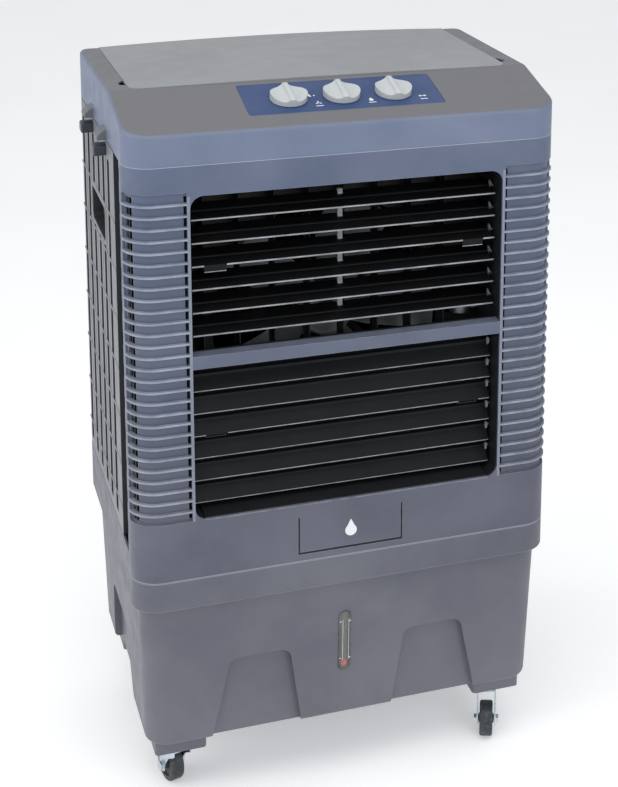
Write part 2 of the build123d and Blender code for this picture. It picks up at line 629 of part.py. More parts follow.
def top_cover():
    outer_side = [(FRONT - 5, 940), (FRONT - 5, Z_NOSE - 1.5), (depth(NOSE_DEPTH), Z_NOSE),
                  (depth(LID_DEPTH), Z_LID_FRONT), (BACK + 5, Z_LID_REAR), (BACK + 5, 940)]
    outer = cover_block(0, Z_COVER) & prism_x(outer_side, -320, 320)
    # round the top edges, except the crease in front of the lid
    edges = []
    for edge in outer.edges():
        centre = edge.center()
        crease = abs(centre.X) < 200 and abs(centre.Y - depth(LID_DEPTH)) < 5
        if centre.Z > Z_NOSE - 4 and not crease:
            edges.append(edge)
    outer = soften(outer, edges, (12, 10, 8, 6, 4))
    inner_side = [(FRONT - 5, 930), (FRONT - 5, Z_NOSE - 6), (depth(8), Z_NOSE - 4),
                  (depth(LID_DEPTH), Z_LID_FRONT - LID_T), (BACK + 5, Z_LID_REAR - LID_T),
                  (BACK + 5, 930)]
    inner = cover_block(WALL, Z_COVER - 1) & prism_x(inner_side, -292, 292)
    cover = outer - inner
    cover += outer & block(-280, 280, depth(131), BACK, 992, 1040)
    for side in SIDES:
        cover += outer & block(side * 274.0, side * 290.0, depth(408), depth(431), 1006, 1035)

    # lid well, the tray under it and a row of holes in the tray floor
    well_y0, well_y1 = depth(LID_DEPTH - LID_GAP), BACK + 20
    well_plan = Pos(0, (well_y0 + well_y1) / 2) * RectangleRounded(
        2 * (LID_X + LID_GAP), well_y1 - well_y0, LID_R + LID_GAP)
    well_side = [(depth(120), Z_LID_FRONT - 3.9), (BACK + 30, Z_LID_REAR - 4.3),
                 (BACK + 30, 1060), (depth(120), 1060)]
    well = Pos(0, 0, 1000) * extrude(well_plan, 60)
    cover -= well & prism_x(well_side, -300, 300)
    cover -= rounded(524, 240, 18, 995, 1040, 0, depth(LID_DEPTH + 16 + 240 / 2))
    cover -= [rod((i * 44, depth(380), 990), UP, 3.0, 8) for i in range(-5, 6)]

    # hinge pocket at the rear and its pin bore
    pocket_x = LID_X + LID_GAP
    cover -= block(-pocket_x, pocket_x, HINGE_Y - 10, BACK + 5, 1010, 1045)
    cover -= rod((-LID_X - 11, HINGE_Y, HINGE_Z), RIGHT, HINGE_PIN_R + SNUG, 2 * LID_X + 22)
    # finger notches beside the lid's front corners
    for side in SIDES:
        x = side * (LID_X - 1)
        notch = [(x, depth(160)), (x, depth(192)), (x + side * 5, depth(190)),
                 (x + side * 11, depth(174)), (x + side * 10, depth(165))]
        cover -= prism_z(notch, 1014, 1045)
    # control panel recess, knob shaft holes
    recess = RectangleRounded(PANEL_LENGTH + 0.8, PANEL_W + 0.8, 5)
    cover -= PANEL_PLANE * Pos(0, 0, -1.6) * extrude(recess, 12)
    for x in KNOBS.values():
        cover -= knob_seat(x, -12) * Cylinder(SHAFT_HOLE_R, 24)
    # catch lugs over the side grilles
    lug_profile = [(304, 958.5), (317, 958.5), (318.9, 960.5),
                   (318, 965), (312, 971), (304, 975)]      # (|x|, z)
    for side in SIDES:
        for near in LATCH_DEPTHS.values():
            points = [(side * x, z) for x, z in lug_profile]
            lug = prism_y(points, depth(near) - 15, depth(near) + 15)
            lug = soften(lug, [e for e in lug.edges() if abs(e.center().X) > 306], (2.0, 1.5))
            cover += lug
    return cover


parts["top_cover"] = top_cover()

# ---------------------------------------------------------------- lid, control panel, knobs
LID_CROWN = [                            # (y, crown height above the lid plane)
    (depth(LID_DEPTH), 2.0),
    (depth(LID_DEPTH + 70), 5.5),
    (depth(LID_DEPTH + 200), 6.5),
    (BACK, 5.5),
]
PANEL_T = 1.2
KNOB_R = 26.0


def lid():
    y0, y1 = depth(LID_DEPTH), BACK
    sections = []
    for y, crown in LID_CROWN:
        top = Z_LID_FRONT + (Z_LID_REAR - Z_LID_FRONT) * (y - y0) / (y1 - y0)
        low = top - LID_T
        arc = ThreePointArc((LID_X, top), (0, top + crown), (-LID_X, top))
        line = Polyline((-LID_X, top), (-LID_X, low), (LID_X, low), (LID_X, top))
        sections.append(Plane.XZ.offset(-y) * make_face(Curve() + [arc, line]))
    plate = loft(Sketch() + sections)
    far = BACK + 30
    plan = Pos(0, (y0 + far) / 2) * RectangleRounded(2 * LID_X, far - y0, LID_R)
    plate = plate & (Pos(0, 0, 1000) * extrude(plan, 60))
    # hinge barrel and its end pins
    plate += rod((-LID_X, HINGE_Y, HINGE_Z), RIGHT, 8.0, 2 * LID_X)
    for side in SIDES:
        plate += rod((side * LID_X, HINGE_Y, HINGE_Z), (side, 0, 0), HINGE_PIN_R, 9.5)
    return plate


def control_panel():
    """The face plate and its three rotary switches."""
    outline = RectangleRounded(PANEL_LENGTH, PANEL_W, 4.6)
    plate = PANEL_PLANE * Pos(0, 0, -1.6) * extrude(outline, PANEL_T)
    switches = []
    for x in KNOBS.values():
        plate -= knob_seat(x, 0) * Cylinder(SHAFT_HOLE_R, 10)
        can = Cylinder(15, 22) - Cylinder(SHAFT_HOLE_R, 30)
        switches.append(knob_seat(x, -15.8) * can)
    return group(plate, *switches)


def knob(x):
    """A dished disc with a finger ridge across it; the ridge ends in a pointer."""
    edge_x, edge_z = KNOB_R + 1, 10.2
    right = Spline((3.2, 12.8), (4.9, 9.4), (9.0, 7.2), (15, 6.8), (21, 8.0), (edge_x, edge_z))
    left = Spline((-edge_x, edge_z), (-21, 8.0), (-15, 6.8), (-9.0, 7.2), (-4.9, 9.4),
                  (-3.2, 12.8))
    base = Polyline((edge_x, edge_z), (edge_x, 0), (-edge_x, 0), (-edge_x, edge_z))
    crown = ThreePointArc((-3.2, 12.8), (0, 13.5), (3.2, 12.8))
    section = make_face(Curve() + [right, base, left, crown])
    body = extrude(Plane.XZ.offset(-30) * section, 60, dir=(0, -1, 0))
    pointer = prism_z([(-3.0, 22), (3.0, 22), (0.8, 28.2), (-0.8, 28.2)], 0, 16)
    body = body & (disc(KNOB_R, 16) + pointer)
    ridge_side = [(-30, -1), (-30, 9.6), (-26, 10.4), (-17, 12.6), (0, 14), (18, 13.8),
                  (25, 12.2), (30, 10.0), (30, -1)]      # (y, z)
    body = body & prism_x(ridge_side, -30, 30)
    body -= disc(KNOB_R - 2.5, 2.0) - disc(6, 2.0)       # hollow around the hub
    body += Pos(0, 0, -17.6) * disc(KNOB_SHAFT_R, 18)
    return knob_seat(x, 0.4) * body


parts["lid"] = lid()
parts["control_panel"] = control_panel()
for name, x in KNOBS.items():
    parts[name] = knob(x)

# ---------------------------------------------------------------- side and rear grilles, latches
GRILLE_Z0, GRILLE_Z1 = 397.0, 957.0
SLOT_Z, SLOT_HEIGHT = 672, 522
SIDE_SLOTS = [150.0, 198.5, 247.0, 299.0, 350.0, 402.0]      # depths
SIDE_GROOVES = [174.0, 222.5, 273.0, 324.5, 376.0]           # depths
RIBS_Z = [440.0, 507.0, 578.0, 648.0, 719.0, 789.0, 857.0]


def side_grille():
    """Left grille: flat face with a rounded rear corner and a hand pocket."""
    z0, z1 = GRILLE_Z0, GRILLE_Z1
    outer = rounded(WIDTH, 900, 16, z0, z1, 0, BACK - 450)
    outer = outer & block(-310, -291, depth(98), BACK + 1, z0, z1)
    hollow = rounded(WIDTH - 2 * WALL, 894, 13, z0 + WALL, z1 - WALL, 0, BACK - 450)
    hollow = hollow & block(-310, -280, depth(101), BACK + 1, z0, z1)
    grille = outer - hollow
    slot = RectangleRounded(19, SLOT_HEIGHT, 4)
    cuts = [extrude_x(Pos(depth(d), SLOT_Z) * slot, -310, -298) for d in SIDE_SLOTS]
    # a shallow groove runs down every bar
    cuts += [block(-306, -304.2, depth(d) - 1.6, depth(d) + 1.6, 411, 933) for d in SIDE_GROOVES]
    grille -= cuts
    centre = Pos(depth(252.0), 826.0)
    pocket = extrude_x(centre * RectangleRounded(142, 62, 14), -306, -289)
    pocket = soften(pocket, pocket.edges().group_by(Axis.X)[0], (1.2, 0.8))
    for z in RIBS_Z:
        grille += block(-305.7, -301.5, depth(100), depth(424), z - 1.6, z + 1.6)
    grille += pocket
    grille -= extrude_x(centre * RectangleRounded(130, 50, 9), -307, -291)
    # latch holes with a boss on the inside
    hole_r = LATCH_PIN_R + LOOSE
    for near in LATCH_DEPTHS.values():
        start = (-310, depth(near), LATCH_Z)
        grille -= rod(start, RIGHT, hole_r, 12)
        boss = rod((-302, depth(near), LATCH_Z), RIGHT, 9.0, 1.5)
        grille += boss - rod(start, RIGHT, hole_r, 20)
    return grille


def rear_grille():
    z0, z1 = GRILLE_Z0, GRILLE_Z1
    grille = block(-289.5, 289.5, depth(420), BACK, z0, z1)
    grille -= block(-286.5, 286.5, depth(419), BACK - WALL, z0 + WALL, z1 - WALL)
    slot = RectangleRounded(20, SLOT_HEIGHT, 4)
    grille -= [extrude_y(Pos(-250 + 50 * i, SLOT_Z) * slot, BACK - 6, BACK + 3)
               for i in range(11)]
    for z in RIBS_Z:
        grille += block(-280, 280, BACK - 3.5, BACK + 0.7, z - 1.6, z + 1.6)
    # round studs down both edges
    for side in SIDES:
        for z in (415, 672, 930):
            grille += rod((side * 278, BACK - 0.5, z), REAR, 5.0, 2.0)
    return grille


def latch(y):
    """Left latch: outer button, pin through the grille and inner tongue."""
    button = block(-322.5, -305.4, y - 11, y + 11, LATCH_Z - 8, LATCH_Z + 8)
    button = soften(button, button.edges().filter_by(Axis.X), (4.5, 3))
    button = soften(button, button.edges().group_by(Axis.X)[0], (2.5, 1.5))
    body = button + rod((-306, y, LATCH_Z), RIGHT, LATCH_PIN_R, 9.5)
    body += block(-299.8, -297.0, y - 5, y + 5, LATCH_Z - 6, LATCH_Z + 8)
    return body


parts["left_grille"] = side_grille()
parts["right_grille"] = mirror(parts["left_grille"], about=Plane.YZ)
parts["rear_grille"] = rear_grille()
for end, near in LATCH_DEPTHS.items():
    left = latch(depth(near))
    parts["left_%s_latch" % end] = left
    parts["right_%s_latch" % end] = mirror(left, about=Plane.YZ)

# ---------------------------------------------------------------- casters
WHEEL_R, WHEEL_W, TRAIL = 26.0, 20.0, 25.0
AXLE_R = 4.0
LEG_PROFILE = [                          # (y, z), the trail running along +y
    (-15, 75), (17, 75), (TRAIL + 9, 34), (TRAIL + 8, 19), (TRAIL, 16.5), (TRAIL - 8, 19),
    (TRAIL - 10, 31), (3, 48), (-14, 58),
]


def caster(x, y, heading):
    """Fork with its axle, and the wheel."""
    half = WHEEL_W / 2
    leg_x = half + 4.6                   # outer face of a leg
    fork = rod((0, 0, 73.6), UP, 20, 3.4) + rod((0, 0, 76.9), UP, 15, 2.1)
    for side in SIDES:
        leg = prism_x(LEG_PROFILE, *sorted((side * (half + 2.2), side * leg_x)))
        fork += soften(leg, leg.edges().filter_by(Axis.X), (4, 3, 2))
    fork += block(-leg_x, leg_x, -14, 16, 64.5, 67)      # crown that ties the legs
    fork += rod((0, 0, 66), UP, 12.0, 8)
    fork += rod((0, 0, Z_FOOT), UP, STEM_R, 16)
    fork -= rod((-30, TRAIL, WHEEL_R), RIGHT, AXLE_R, 60)

    axle = rod((-half - 6.2, TRAIL, WHEEL_R), RIGHT, AXLE_R, 2 * half + 12.4)
    for side in (1, -1):
        nut_plane = Plane(origin=(side * leg_x, TRAIL, WHEEL_R), z_dir=(side, 0, 0))
        axle = axle + nut_plane * extrude(RegularPolygon(6.6, 6), 4.2)

    wheel = rod((-half, TRAIL, WHEEL_R), RIGHT, WHEEL_R, WHEEL_W)
    rims = [e for e in wheel.edges() if abs(e.length - 2 * math.pi * WHEEL_R) < 1]
    wheel = soften(wheel, rims, (3.5, 2))
    for side in SIDES:
        dish = rod((side * (half - 2.5), TRAIL, WHEEL_R), (side, 0, 0), 18, 5)
        wheel -= dish - rod((side * (half - 4), TRAIL, WHEEL_R), (side, 0, 0), 8, 8)
    wheel += rod((-half - 1.6, TRAIL, WHEEL_R), RIGHT, 7.0, 2 * half + 3.2)
    wheel -= rod((-30, TRAIL, WHEEL_R), RIGHT, AXLE_R + LOOSE, 60)
    place = Pos(x, y, 0) * Rot(0, 0, heading)
    return group(place * fork, place * axle), place * wheel


for name, (x, y, heading) in CASTERS.items():
    fork, wheel = caster(x, y, heading)
    parts[name + "_caster_fork"] = fork
    parts[name + "_caster_wheel"] = wheel

# ---------------------------------------------------------------- power cord
PLUG_X, PLUG_Y = 236, BACK - 2.0


def power_cord():
    """Cord hanging down the rear, its grommet and its two-blade plug with a round pin."""
    points = [(CORD_X, BACK + 1.0, CORD_Z), (CORD_X, BACK + 5.0, 368),
              (238, BACK + 4.0, 260), (PLUG_X, PLUG_Y, 157)]
    path = Spline(*points, tangents=[(0, 1, -1), (0, 0, -1)])
    cord = sweep(Plane(origin=points[0], z_dir=(0, 1, -1)) * Circle(3.3), path=path)
    grommet = rod((CORD_X, BACK - 6, CORD_Z), REAR, CORD_HOLE_R - SNUG, 8.0)
    grommet += rod((CORD_X, BACK, CORD_Z), REAR, 8.0, 4.5)
    plug = rounded(26, 17, 5, 112, 158, PLUG_X, PLUG_Y)
    plug = soften(plug, plug.edges().group_by(Axis.Z)[-1], (4, 2))
    for side in SIDES:
        x = PLUG_X + side * 6.35
        plug += block(x - 0.8, x + 0.8, BACK - 5.2, BACK + 1.2, 96, 113)
    plug += rod((PLUG_X, BACK - 8, 100), UP, 2.4, 14)
    return cord + grommet + plug


parts["power_cord"] = power_cord()

# ---------------------------------------------------------------- write one STEP per part
os.makedirs("parts", exist_ok=True)
for name in sorted(parts):
    solids = [Pos(0, Y_SHIFT, 0) * solid for solid in parts[name].solids()]
    whole = solids[0] if len(solids) == 1 else Compound(children=solids)
    export_step(whole, os.path.join("parts", name + ".step"))
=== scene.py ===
import json
import math
import random

import bmesh
import bpy
from mathutils import Matrix, Vector


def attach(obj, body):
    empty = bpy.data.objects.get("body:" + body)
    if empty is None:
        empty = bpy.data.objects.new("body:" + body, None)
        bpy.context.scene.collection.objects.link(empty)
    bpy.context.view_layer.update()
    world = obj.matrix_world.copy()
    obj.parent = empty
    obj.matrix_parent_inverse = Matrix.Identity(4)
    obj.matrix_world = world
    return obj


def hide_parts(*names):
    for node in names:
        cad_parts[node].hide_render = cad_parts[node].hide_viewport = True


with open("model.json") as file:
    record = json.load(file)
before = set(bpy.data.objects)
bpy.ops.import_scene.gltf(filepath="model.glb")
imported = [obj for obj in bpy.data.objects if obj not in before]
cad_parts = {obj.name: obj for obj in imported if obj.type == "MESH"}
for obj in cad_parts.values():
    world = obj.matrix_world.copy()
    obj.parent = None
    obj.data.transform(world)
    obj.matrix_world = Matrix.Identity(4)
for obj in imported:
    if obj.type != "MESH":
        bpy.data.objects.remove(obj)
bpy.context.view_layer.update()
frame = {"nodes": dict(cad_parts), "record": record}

scene = bpy.context.scene
nodes = frame["nodes"]
YS = -0.00475                    # the CAD's centring shift
F, B = -0.217, 0.217


# ------------------------------------------------------------------ node helpers
class Net:
    """A small wrapper that keeps material code short."""

    def __init__(self, name):
        self.mat = bpy.data.materials.new(name)
        self.mat.use_nodes = True
        self.nt = self.mat.node_tree
        self.nt.nodes.clear()
        self.out = self.add("ShaderNodeOutputMaterial")
        self.bsdf = self.add("ShaderNodeBsdfPrincipled")
        self.nt.links.new(self.bsdf.outputs[0], self.out.inputs["Surface"])
        self.coord = self.add("ShaderNodeTexCoord")
        self.geo = self.add("ShaderNodeNewGeometry")

    def add(self, kind, **kw):
        n = self.nt.nodes.new(kind)
        for k, v in kw.items():
            setattr(n, k, v)
        return n

    def link(self, a, b):
        self.nt.links.new(a, b)

    def put(self, sock, val):
        if hasattr(val, "node"):
            self.link(val, sock)
        else:
            sock.default_value = val

    def noise(self, scale, detail=4.0, rough=0.55, vec=None, dist=0.0):
        n = self.add("ShaderNodeTexNoise")
        n.inputs["Scale"].default_value = scale
        n.inputs["Detail"].default_value = detail
        n.inputs["Roughness"].default_value = rough
        n.inputs["Distortion"].default_value = dist
        self.link(vec if vec is not None else self.coord.outputs["Object"], n.inputs["Vector"])
        return n.outputs["Fac"]

    def voronoi(self, scale, vec=None, feature="F1"):
        n = self.add("ShaderNodeTexVoronoi", feature=feature)
        n.inputs["Scale"].default_value = scale
        self.link(vec if vec is not None else self.coord.outputs["Object"], n.inputs["Vector"])
        return n.outputs["Distance"]

    def maprange(self, v, a, b, c, d):
        n = self.add("ShaderNodeMapRange")
        self.put(n.inputs["Value"], v)
        for i, x in zip(("From Min", "From Max", "To Min", "To Max"), (a, b, c, d)):
            self.put(n.inputs[i], x)
        return n.outputs["Result"]

    def math(self, op, a, b=0.0, clamp=False):
        n = self.add("ShaderNodeMath", operation=op)
        n.use_clamp = clamp
        self.put(n.inputs[0], a)
        self.put(n.inputs[1], b)
        return n.outputs[0]

    def mix(self, fac, a, b):
        n = self.add("ShaderNodeMix", data_type="RGBA")
        self.put(n.inputs["Factor"], fac)
        for s, v in ((n.inputs[6], a), (n.inputs[7], b)):
            if hasattr(v, "node"):
                self.link(v, s)
            else:
                s.default_value = (v[0], v[1], v[2], 1.0)
        return n.outputs[2]

    def sep(self, v):
        n = self.add("ShaderNodeSeparateXYZ")
        self.link(v, n.inputs[0])
        return n.outputs

    def scaled(self, sx, sy, sz, rot=(0, 0, 0)):
        n = self.add("ShaderNodeMapping")
        n.inputs["Scale"].default_value = (sx, sy, sz)
        n.inputs["Rotation"].default_value = rot
        self.link(self.coord.outputs["Object"], n.inputs["Vector"])
        return n.outputs[0]

    def bump(self, height, strength, dist, normal=None):
        n = self.add("ShaderNodeBump")
        n.inputs["Strength"].default_value = strength
        n.inputs["Distance"].default_value = dist
        self.link(height, n.inputs["Height"])
        if normal is not None:
            self.link(normal, n.inputs["Normal"])
        return n.outputs[0]

    def edges(self, radius):
        """A mask that is 1 on sharp edges and 0 on flats, and the rounded normal."""
        b = self.add("ShaderNodeBevel", samples=6)
        b.inputs["Radius"].default_value = radius
        d = self.add("ShaderNodeVectorMath", operation="DOT_PRODUCT")
        self.link(b.outputs[0], d.inputs[0])
        self.link(self.geo.outputs["Normal"], d.inputs[1])
        m = self.maprange(d.outputs["Value"], 0.995, 0.86, 0.0, 1.0)
        return m, b.outputs[0]


def plastic(name, col, rough=0.42, top=None, grain=0.12, var=0.10, edge_wear_and_highlight=0.35, dust=0.10, edge=0.0011, spec=0.5, streak=0.0, z0=0.35, z1=0.98, paint=None):
    """Moulded thermoplastic: fine spark-eroded grain, faint flow marks, paler edges that are partly wear and partly
    painted highlight, a little dust.
    """
    m = Net(name)
    pos = m.coord.outputs["Object"]
    base = col
    if top is not None:
        zz = m.sep(pos)[2]
        g = m.maprange(zz, z0, z1, 0.0, 1.0)
        g = m.math("ADD", g, m.maprange(m.noise(3.0, 2), 0.3, 0.7, -0.12, 0.12), clamp=True)
        base = m.mix(g, col, top)
    cloud = m.maprange(m.noise(5.5, 5, 0.6, dist=0.4), 0.3, 0.7, 0.0, 1.0)
    dark = m.mix(var, base, (0.0, 0.0, 0.0))
    light = m.mix(var * 0.7, base, (1.0, 1.0, 1.0))
    c = m.mix(cloud, dark, light)
    if streak:
        st = m.noise(1.0, 3, 0.5, vec=m.scaled(60, 60, 4))
        c = m.mix(m.maprange(st, 0.45, 0.75, 0.0, streak), c, (0.62, 0.62, 0.66))
    # paler edges: partly edge wear, partly a painted highlight along sharp edges
    mask, nrm = m.edges(edge)
    brk = m.maprange(m.noise(60, 3), 0.35, 0.65, 0.25, 1.0)
    mask = m.math("MULTIPLY", mask, brk)
    pale_edge_highlight = m.mix(0.5, base, (0.72, 0.74, 0.80))
    c = m.mix(m.math("MULTIPLY", mask, edge_wear_and_highlight), c, pale_edge_highlight)
    up = m.sep(m.geo.outputs["Normal"])[2]
    d = m.math("MULTIPLY", m.maprange(up, 0.55, 1.0, 0.0, dust), m.maprange(m.noise(38, 6, 0.7), 0.35, 0.75, 0.2, 1.0))
    c = m.mix(d, c, (0.66, 0.65, 0.62))
    if paint is not None:
        c = paint(m, c)
    m.put(m.bsdf.inputs["Base Color"], c)
    r = m.maprange(m.noise(26, 5, 0.65), 0.3, 0.7, rough - 0.07, rough + 0.09)
    r = m.math("ADD", r, m.math("MULTIPLY", d, 0.6), clamp=True)
    m.put(m.bsdf.inputs["Roughness"], r)
    m.bsdf.inputs["Specular IOR Level"].default_value = spec
    fine = m.noise(1500, 2, 0.6)
    peel = m.noise(220, 3, 0.5)
    h = m.math("ADD", m.math("MULTIPLY", fine, 0.55), m.math("MULTIPLY", peel, 0.45))
    m.put(m.bsdf.inputs["Normal"], m.bump(h, grain, 0.0006, nrm))
    return m.mat


def metal(name, col, rough=0.28, brushed=True, tint=None, edge_wear_and_highlight=0.4):
    m = Net(name)
    c = m.mix(m.maprange(m.noise(45, 4), 0.3, 0.7, 0, 1), tuple(x * 0.86 for x in col), col)
    if tint:
        c = m.mix(m.maprange(m.noise(22, 4, dist=0.6), 0.45, 0.7, 0, 0.35), c, tint)
    mask, nrm = m.edges(0.0007)
    c = m.mix(m.math("MULTIPLY", mask, edge_wear_and_highlight), c, (0.9, 0.9, 0.92))
    m.put(m.bsdf.inputs["Base Color"], c)
    m.bsdf.inputs["Metallic"].default_value = 1.0
    n = m.noise(1.0, 4, 0.6, vec=m.scaled(900, 900, 60) if brushed else m.scaled(300, 300, 300))
    m.put(m.bsdf.inputs["Roughness"], m.maprange(n, 0.25, 0.75, rough - 0.08, rough + 0.14))
    m.put(m.bsdf.inputs["Normal"], m.bump(n, 0.10, 0.0003, nrm))
    return m.mat


def rubber(name, col):
    m = Net(name)
    c = m.mix(m.maprange(m.noise(70, 5), 0.3, 0.7, 0, 1), col, tuple(min(1, x * 1.9 + 0.01) for x in col))
    scuff = m.maprange(m.noise(1.0, 5, 0.7, vec=m.scaled(160, 160, 160)), 0.52, 0.75, 0.0, 0.30)
    c = m.mix(scuff, c, (0.30, 0.30, 0.30))
    mask, nrm = m.edges(0.0014)
    c = m.mix(m.math("MULTIPLY", mask, 0.25), c, (0.28, 0.29, 0.30))
    m.put(m.bsdf.inputs["Base Color"], c)
    m.put(m.bsdf.inputs["Roughness"], m.maprange(m.noise(90, 4), 0.3, 0.7, 0.42, 0.62))
    m.put(m.bsdf.inputs["Normal"], m.bump(m.noise(1200, 3), 0.18, 0.0005, nrm))
    return m.mat


def fibre(name):
    """Resin treated cellulose: ribbed, mottled brown with mineral flecks."""
    m = Net(name)
    c = m.mix(m.maprange(m.noise(28, 6, 0.7), 0.3, 0.7, 0, 1), (0.055, 0.038, 0.022), (0.16, 0.115, 0.065))
    c = m.mix(m.maprange(m.noise(420, 3, 0.7), 0.55, 0.8, 0, 0.6), c, (0.30, 0.24, 0.16))
    zz = m.sep(m.coord.outputs["Object"])[2]
    low = m.maprange(zz, 0.40, 0.62, 0.35, 0.0)
    c = m.mix(m.math("MULTIPLY", low, m.maprange(m.noise(30, 4), 0.4, 0.65, 0, 1)), c, (0.42, 0.40, 0.36))
    m.put(m.bsdf.inputs["Base Color"], c)
    m.bsdf.inputs["Roughness"].default_value = 0.92
    m.put(m.bsdf.inputs["Normal"], m.bump(m.noise(800, 4, 0.7), 0.5, 0.0008))
    return m.mat


def clear(name, col):
    """Hazed translucent moulding, see-through enough to show the float inside."""
    m = Net(name)
    c = m.mix(m.maprange(m.noise(60, 4), 0.35, 0.7, 0, 1), col, tuple(x * 0.88 for x in col))
    mask, nrm = m.edges(0.0008)
    c = m.mix(m.math("MULTIPLY", mask, 0.5), c, (0.60, 0.62, 0.60))
    m.put(m.bsdf.inputs["Base Color"], c)
    m.put(m.bsdf.inputs["Roughness"], m.maprange(m.noise(120, 4), 0.3, 0.7, 0.16, 0.30))
    m.put(m.bsdf.inputs["Alpha"], m.math("ADD", m.math("MULTIPLY", mask, 0.3), 0.27, clamp=True))
    m.put(m.bsdf.inputs["Normal"], m.bump(m.noise(500, 2), 0.05, 0.0004, nrm))
    return m.mat


# ------------------------------------------------------------------ materials
def gate(m, v, a, b):
    """1 between a and b, 0 outside."""
    return m.math("MULTIPLY", m.math("GREATER_THAN", v, a), m.math("LESS_THAN", v, b))


def outlet_painted_shade(m, c):
    """Painted shade: the outlet duct behind the lip is darkened to near black; the cross bar keeps the casing colour.
    """
    p = m.sep(m.coord.outputs["Object"])
    ax = m.math("ABSOLUTE", p[0])
    k = m.math("MULTIPLY", gate(m, ax, -1.0, 0.2244), gate(m, p[1], F + YS + 0.0045, 0.0))
    k = m.math("MULTIPLY", k, gate(m, p[2], 0.4515, 0.9165))
    barz = m.math("MULTIPLY", gate(m, p[2], 0.6725, 0.6915), gate(m, p[1], F + YS - 0.01, F + YS + 0.020))
    k = m.math("MULTIPLY", k, m.math("SUBTRACT", 1.0, barz))
    return m.mix(k, c, (0.012, 0.013, 0.015))


def blade_paint(y0, z0, pitch, tilt):
    """Painted highlight: pale line along the leading edge of a louvre blade, found from its chord position."""
    def fn(m, c):
        p = m.sep(m.coord.outputs["Object"])
        info = m.add("ShaderNodeObjectInfo")
        zi = m.math("SUBTRACT", z0, m.math("MULTIPLY", info.outputs["Object Index"], pitch))
        dy = m.math("MULTIPLY", m.math("SUBTRACT", p[1], y0), math.cos(tilt))
        dz = m.math("MULTIPLY", m.math("SUBTRACT", p[2], zi), math.sin(tilt))
        chord = m.math("ADD", dy, dz)
        hy = m.math("MULTIPLY", m.math("SUBTRACT", p[1], y0), -math.sin(tilt))
        hz = m.math("MULTIPLY", m.math("SUBTRACT", p[2], zi), math.cos(tilt))
        high = m.math("ADD", hy, hz)
        ax = m.math("ABSOLUTE", p[0])
        tab = m.math("MULTIPLY", gate(m, ax, 0.1686, 0.1994), gate(m, info.outputs["Object Index"], 1.5, 2.5))
        rim = m.math("LESS_THAN", high, -0.0088)
        edge_ok = m.math("ADD", m.math("MULTIPLY", tab, rim), m.math("SUBTRACT", 1.0, tab))
        lead = m.math("MULTIPLY", m.maprange(chord, -0.0229, -0.0235, 0.0, 1.0), gate(m, p[0], -0.2160, 0.2160))
        lead = m.math("MULTIPLY", lead, edge_ok)
        brk = m.maprange(m.noise(35, 4), 0.35, 0.65, 0.55, 1.0)
        c = m.mix(m.math("MULTIPLY", lead, brk), c, (0.40, 0.41, 0.43))
        # painted highlight: pale dashes at the blade end caps
        cap = m.math("MULTIPLY", m.math("GREATER_THAN", m.math("ABSOLUTE", p[0]), 0.2143), gate(m, chord, -0.0075, 0.0015))
        return m.mix(m.math("MULTIPLY", cap, 0.8), c, (0.34, 0.36, 0.38))
    return fn


def cover_paint(m, c):
    """Blue-grey flanks, painted sheen (warmer grey) on faces that look up, painted shade in the finger notches, grey
    catch lugs.
    """
    up = m.sep(m.coord.outputs["Normal"])[2]
    p = m.sep(m.coord.outputs["Object"])
    # painted sheen: faces that look up shift to a warmer grey
    c = m.mix(m.maprange(up, 0.55, 0.93, 0.0, 1.0), c, (0.146, 0.144, 0.155))
    ax = m.math("ABSOLUTE", p[0])
    lug = m.math("MULTIPLY", m.math("GREATER_THAN", ax, 0.3053), m.math("LESS_THAN", p[2], 0.976))
    c = m.mix(lug, c, (0.15, 0.155, 0.17))
    # painted shade: the finger notch recesses are darkened to near black
    notch = m.math("MULTIPLY", gate(m, ax, 0.2745, 0.2865), gate(m, p[1], F + YS + 0.1595, F + YS + 0.1925))
    notch = m.math("MULTIPLY", notch, m.math("LESS_THAN", p[2], 1.0310))
    return m.mix(notch, c, (0.010, 0.010, 0.011))


